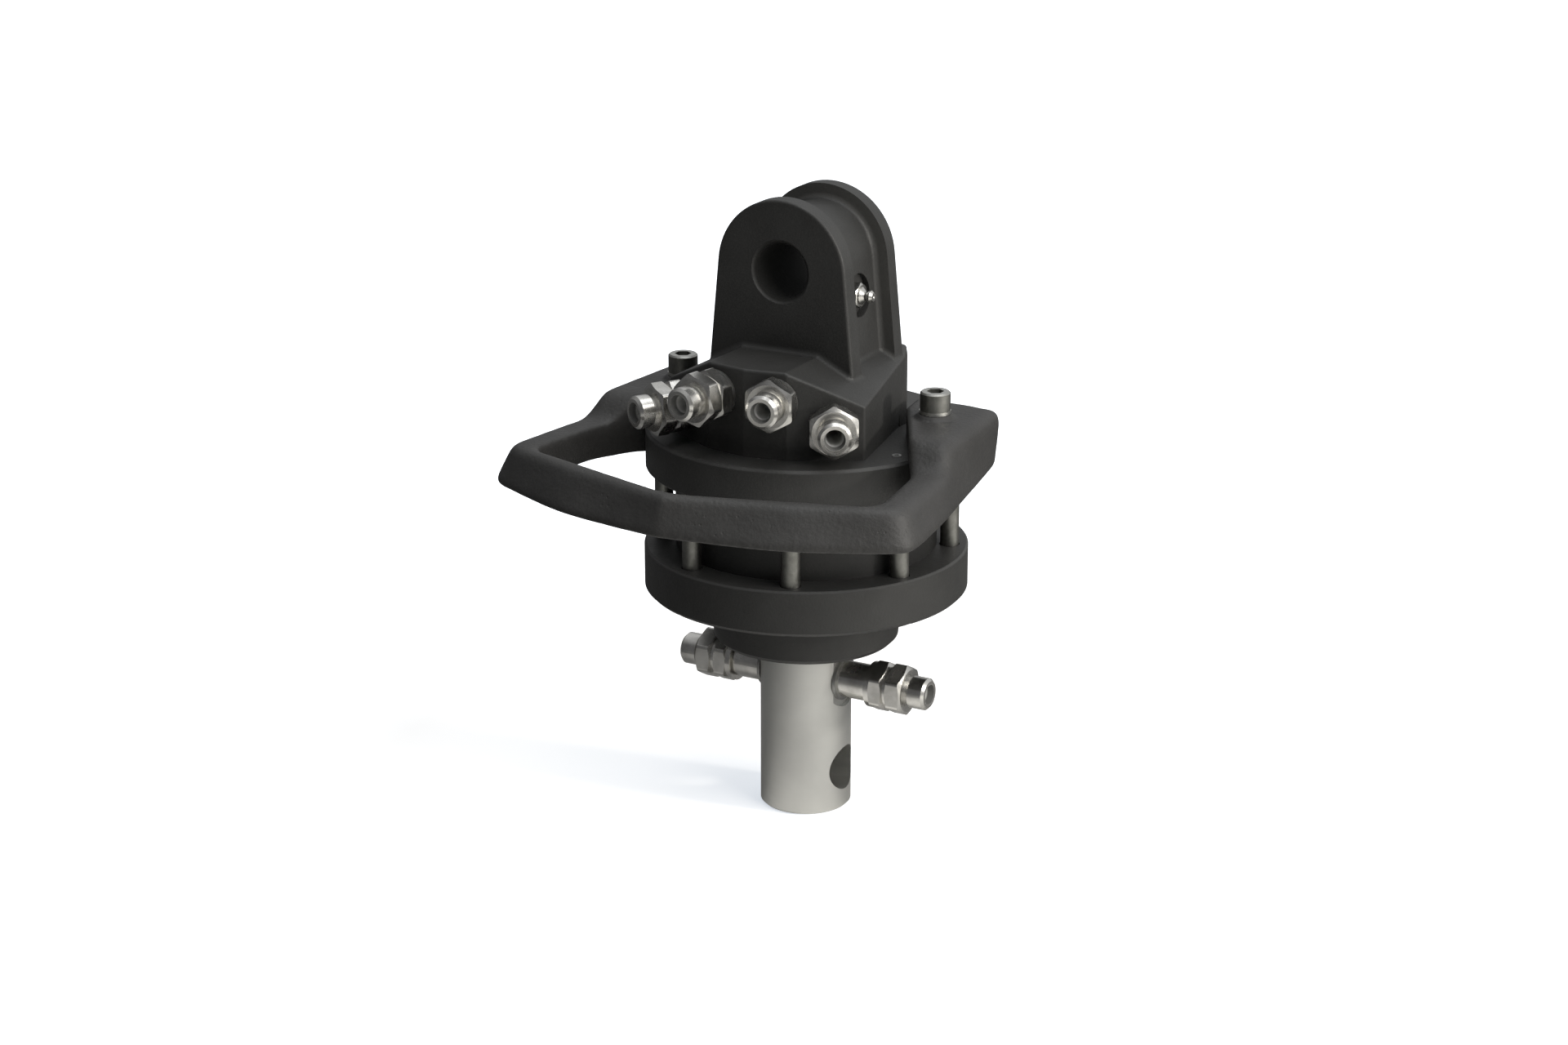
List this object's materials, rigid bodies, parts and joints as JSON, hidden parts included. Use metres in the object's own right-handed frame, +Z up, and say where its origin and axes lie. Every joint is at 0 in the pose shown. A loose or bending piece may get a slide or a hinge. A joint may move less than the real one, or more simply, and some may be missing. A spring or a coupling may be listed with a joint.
{
  "type": "hydraulic rotator",
  "caption": "Hydraulic rotator that hangs from a pinned lug and turns a steel shaft endlessly, with hose ports behind a cast guard loop and turning hose connections on the shaft.",
  "frame": {"origin": "centre of the link pin bore at the top of the lug", "axes": "+Z up along the turning axis, +Y along the link pin bore and away from the hose ports, so that the ports and the guard face -Y and the adapters on the shaft lie along X"},
  "size_m": [0.244, 0.244, 0.342],
  "materials": {
    "casting": "satin black paint on a fine cast skin",
    "guard": "satin black paint on a sandy cast skin",
    "ring": "satin black paint",
    "shaft": "ground",
    "zinc": "bright zinc plated",
    "bolt": "dull zinc plated",
    "washer": "bright zinc plated",
    "steel": "machined",
    "bronze": "machined bronze",
    "rubber": "matt",
    "seal_steel": "bonded seal with a rubber lip",
    "seal_plastic": "filled PTFE"
  },
  "bodies": {
    "stator": {"head_casting": "casting", "grease_nipple": "zinc", "flange_plug": "steel", "port_seals": "seal_steel", "port_adapters_long": "zinc", "port_adapters_short": "zinc", "guard": "guard", "guard_washers": "washer", "guard_screws": "bolt", "cam_ring": "ring", "cam_ring_dowels": "steel", "static_seal_upper": "rubber", "static_seal_lower": "rubber", "lower_cover": "casting", "cover_bolts": "bolt", "upper_bush": "bronze", "lower_bush": "bronze", "thrust_ring": "bronze", "shaft_seal": "rubber", "seal_retainer": "steel", "wiper_ring": "rubber"},
    "rotor": {"output_shaft": "shaft", "rotor": "steel", "vanes": "steel", "vane_springs": "steel", "rotor_keys": "steel", "rotor_retainer": "steel", "gallery_plugs": "steel", "feed_seals": "seal_plastic", "nipple_seals": "seal_steel", "shaft_nipples": "zinc", "shaft_locknuts": "zinc", "shaft_unions": "zinc"}
  },
  "joints": [
    {"name": "rotation", "type": "hinge", "parent": "stator", "child": "rotor", "pos_m": [0, 0, -0.25], "axis": [0, 0, 1], "continuous": true}
  ]
}
